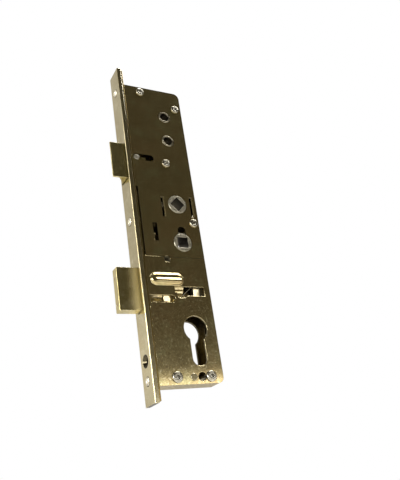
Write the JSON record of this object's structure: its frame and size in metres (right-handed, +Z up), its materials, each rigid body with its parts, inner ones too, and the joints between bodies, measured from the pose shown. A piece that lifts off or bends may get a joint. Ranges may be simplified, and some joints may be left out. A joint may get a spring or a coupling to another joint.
{
  "type": "mortise lock",
  "caption": "Slim mortise lock case with bevelled latch, square deadbolt, twin square spindle followers, profile cylinder hole, long faceplate and sliding drive rail.",
  "frame": {"origin": "axis of the profile cylinder hole's round head, at the middle of the case's thickness", "axes": "+Z up the door edge, -X out of the door edge the way the bolts are thrown, +Y through the case towards its closed back"},
  "size_m": [0.065, 0.0164, 0.252],
  "materials": {
    "cover_plate": "steel sheet, yellow-passivated zinc, lightly scratched",
    "case_tray": "pressed steel sheet, yellow-passivated zinc",
    "faceplate": "steel strip, bright yellow-passivated zinc",
    "rail": "steel strip, yellow-passivated zinc, darker than the faceplate",
    "bolt_steel": "machined steel, yellow-passivated zinc",
    "latch_casting": "sintered steel, yellow-passivated zinc",
    "fastener_zinc": "bright zinc-plated steel",
    "follower_zinc": "sintered steel, clear zinc",
    "lever_steel": "stamped steel, yellow-passivated zinc",
    "block_steel": "drawn steel, zinc",
    "spring_steel": "spring wire, oiled",
    "hardened_steel": "hardened steel rollers"
  },
  "bodies": {
    "case": {"case_tray": "case_tray", "upper_cover": "cover_plate", "lower_cover": "cover_plate", "faceplate": "faceplate", "top_mounting_block": "block_steel", "middle_mounting_block": "block_steel", "bottom_mounting_block": "block_steel", "cover_posts": "block_steel", "latch_lever_post": "block_steel", "threaded_boss": "block_steel", "throw_pivot": "block_steel", "upper_handle_bush": "follower_zinc", "lower_handle_bush": "follower_zinc", "locating_pin": "fastener_zinc", "upper_cover_screws": "fastener_zinc", "lower_cover_screws": "fastener_zinc", "faceplate_screws": "fastener_zinc", "upper_return_spring": "spring_steel", "lower_return_spring": "spring_steel", "spring_anchor_pins": "block_steel", "latch_spring": "spring_steel", "latch_spring_bracket": "lever_steel", "bracket_rivet": "fastener_zinc", "tail_guide": "block_steel", "detent_spring": "spring_steel"},
    "upper_follower": {"upper_follower": "follower_zinc"},
    "rail": {"drive_rail": "rail", "drive_slider": "lever_steel"},
    "lower_follower": {"lower_follower": "follower_zinc"},
    "latch_link": {"latch_link": "lever_steel"},
    "latch_lever": {"latch_lever": "lever_steel"},
    "latch": {"latch_bolt": "latch_casting", "latch_guide_pin": "fastener_zinc", "latch_lever_pin": "fastener_zinc", "latch_spring_rod": "fastener_zinc"},
    "deadbolt": {"deadbolt": "bolt_steel", "hardened_pins": "hardened_steel", "front_cheek": "lever_steel", "rear_cheek": "lever_steel", "cheek_rivets": "fastener_zinc", "bolt_drive_pin": "fastener_zinc"},
    "throw_levers": {"front_throw_lever": "lever_steel", "rear_throw_lever": "lever_steel"}
  },
  "joints": [
    {"name": "rail_slide", "type": "slide", "parent": "case", "child": "rail", "axis": [0, 0, 1], "range_m": [-0.009, 0.009], "stiffness_N_per_m": 2500},
    {"name": "upper_handle_turn", "type": "hinge", "parent": "case", "child": "upper_follower", "pos_m": [0, 0, 0.092], "axis": [0, 1, 0], "range_deg": [-32.05, 32.05], "deforming": ["upper_return_spring"]},
    {"name": "latch_slide", "type": "slide", "parent": "case", "child": "latch", "axis": [1, 0, 0], "range_m": [0, 0.0105], "stiffness_N_per_m": 700, "springref_m": -0.008, "deforming": ["latch_spring"]},
    {"name": "lower_handle_turn", "type": "hinge", "parent": "case", "child": "lower_follower", "pos_m": [0, 0, 0.062], "axis": [0, 1, 0], "range_deg": [0, 36.05], "deforming": ["lower_return_spring"]},
    {"name": "latch_link_slide", "type": "slide", "parent": "case", "child": "latch_link", "axis": [0, 0, 1], "range_m": [0, 0.00697]},
    {"name": "latch_lever_turn", "type": "hinge", "parent": "case", "child": "latch_lever", "pos_m": [-0.0044, 0, 0.1256], "axis": [0, 1, 0], "range_deg": [0, 45.59]},
    {"name": "deadbolt_slide", "type": "slide", "parent": "case", "child": "deadbolt", "axis": [1, 0, 0], "range_m": [0, 0.0152], "deforming": ["detent_spring"]},
    {"name": "throw_lever_turn", "type": "hinge", "parent": "case", "child": "throw_levers", "pos_m": [-0.0025, 0, 0.045], "axis": [0, 1, 0], "range_deg": [-31.46, 0]}
  ],
  "couplings": [
    {"joint": "upper_handle_turn", "follows": "rail_slide", "rad_per_m": 62.056},
    {"joint": "lower_handle_turn", "follows": "latch_slide", "rad_per_m": 59.84},
    {"joint": "latch_link_slide", "follows": "latch_slide", "ratio": 0.66383},
    {"joint": "latch_lever_turn", "follows": "latch_slide", "rad_per_m": 75.739},
    {"joint": "throw_lever_turn", "follows": "deadbolt_slide", "rad_per_m": -36.103}
  ]
}
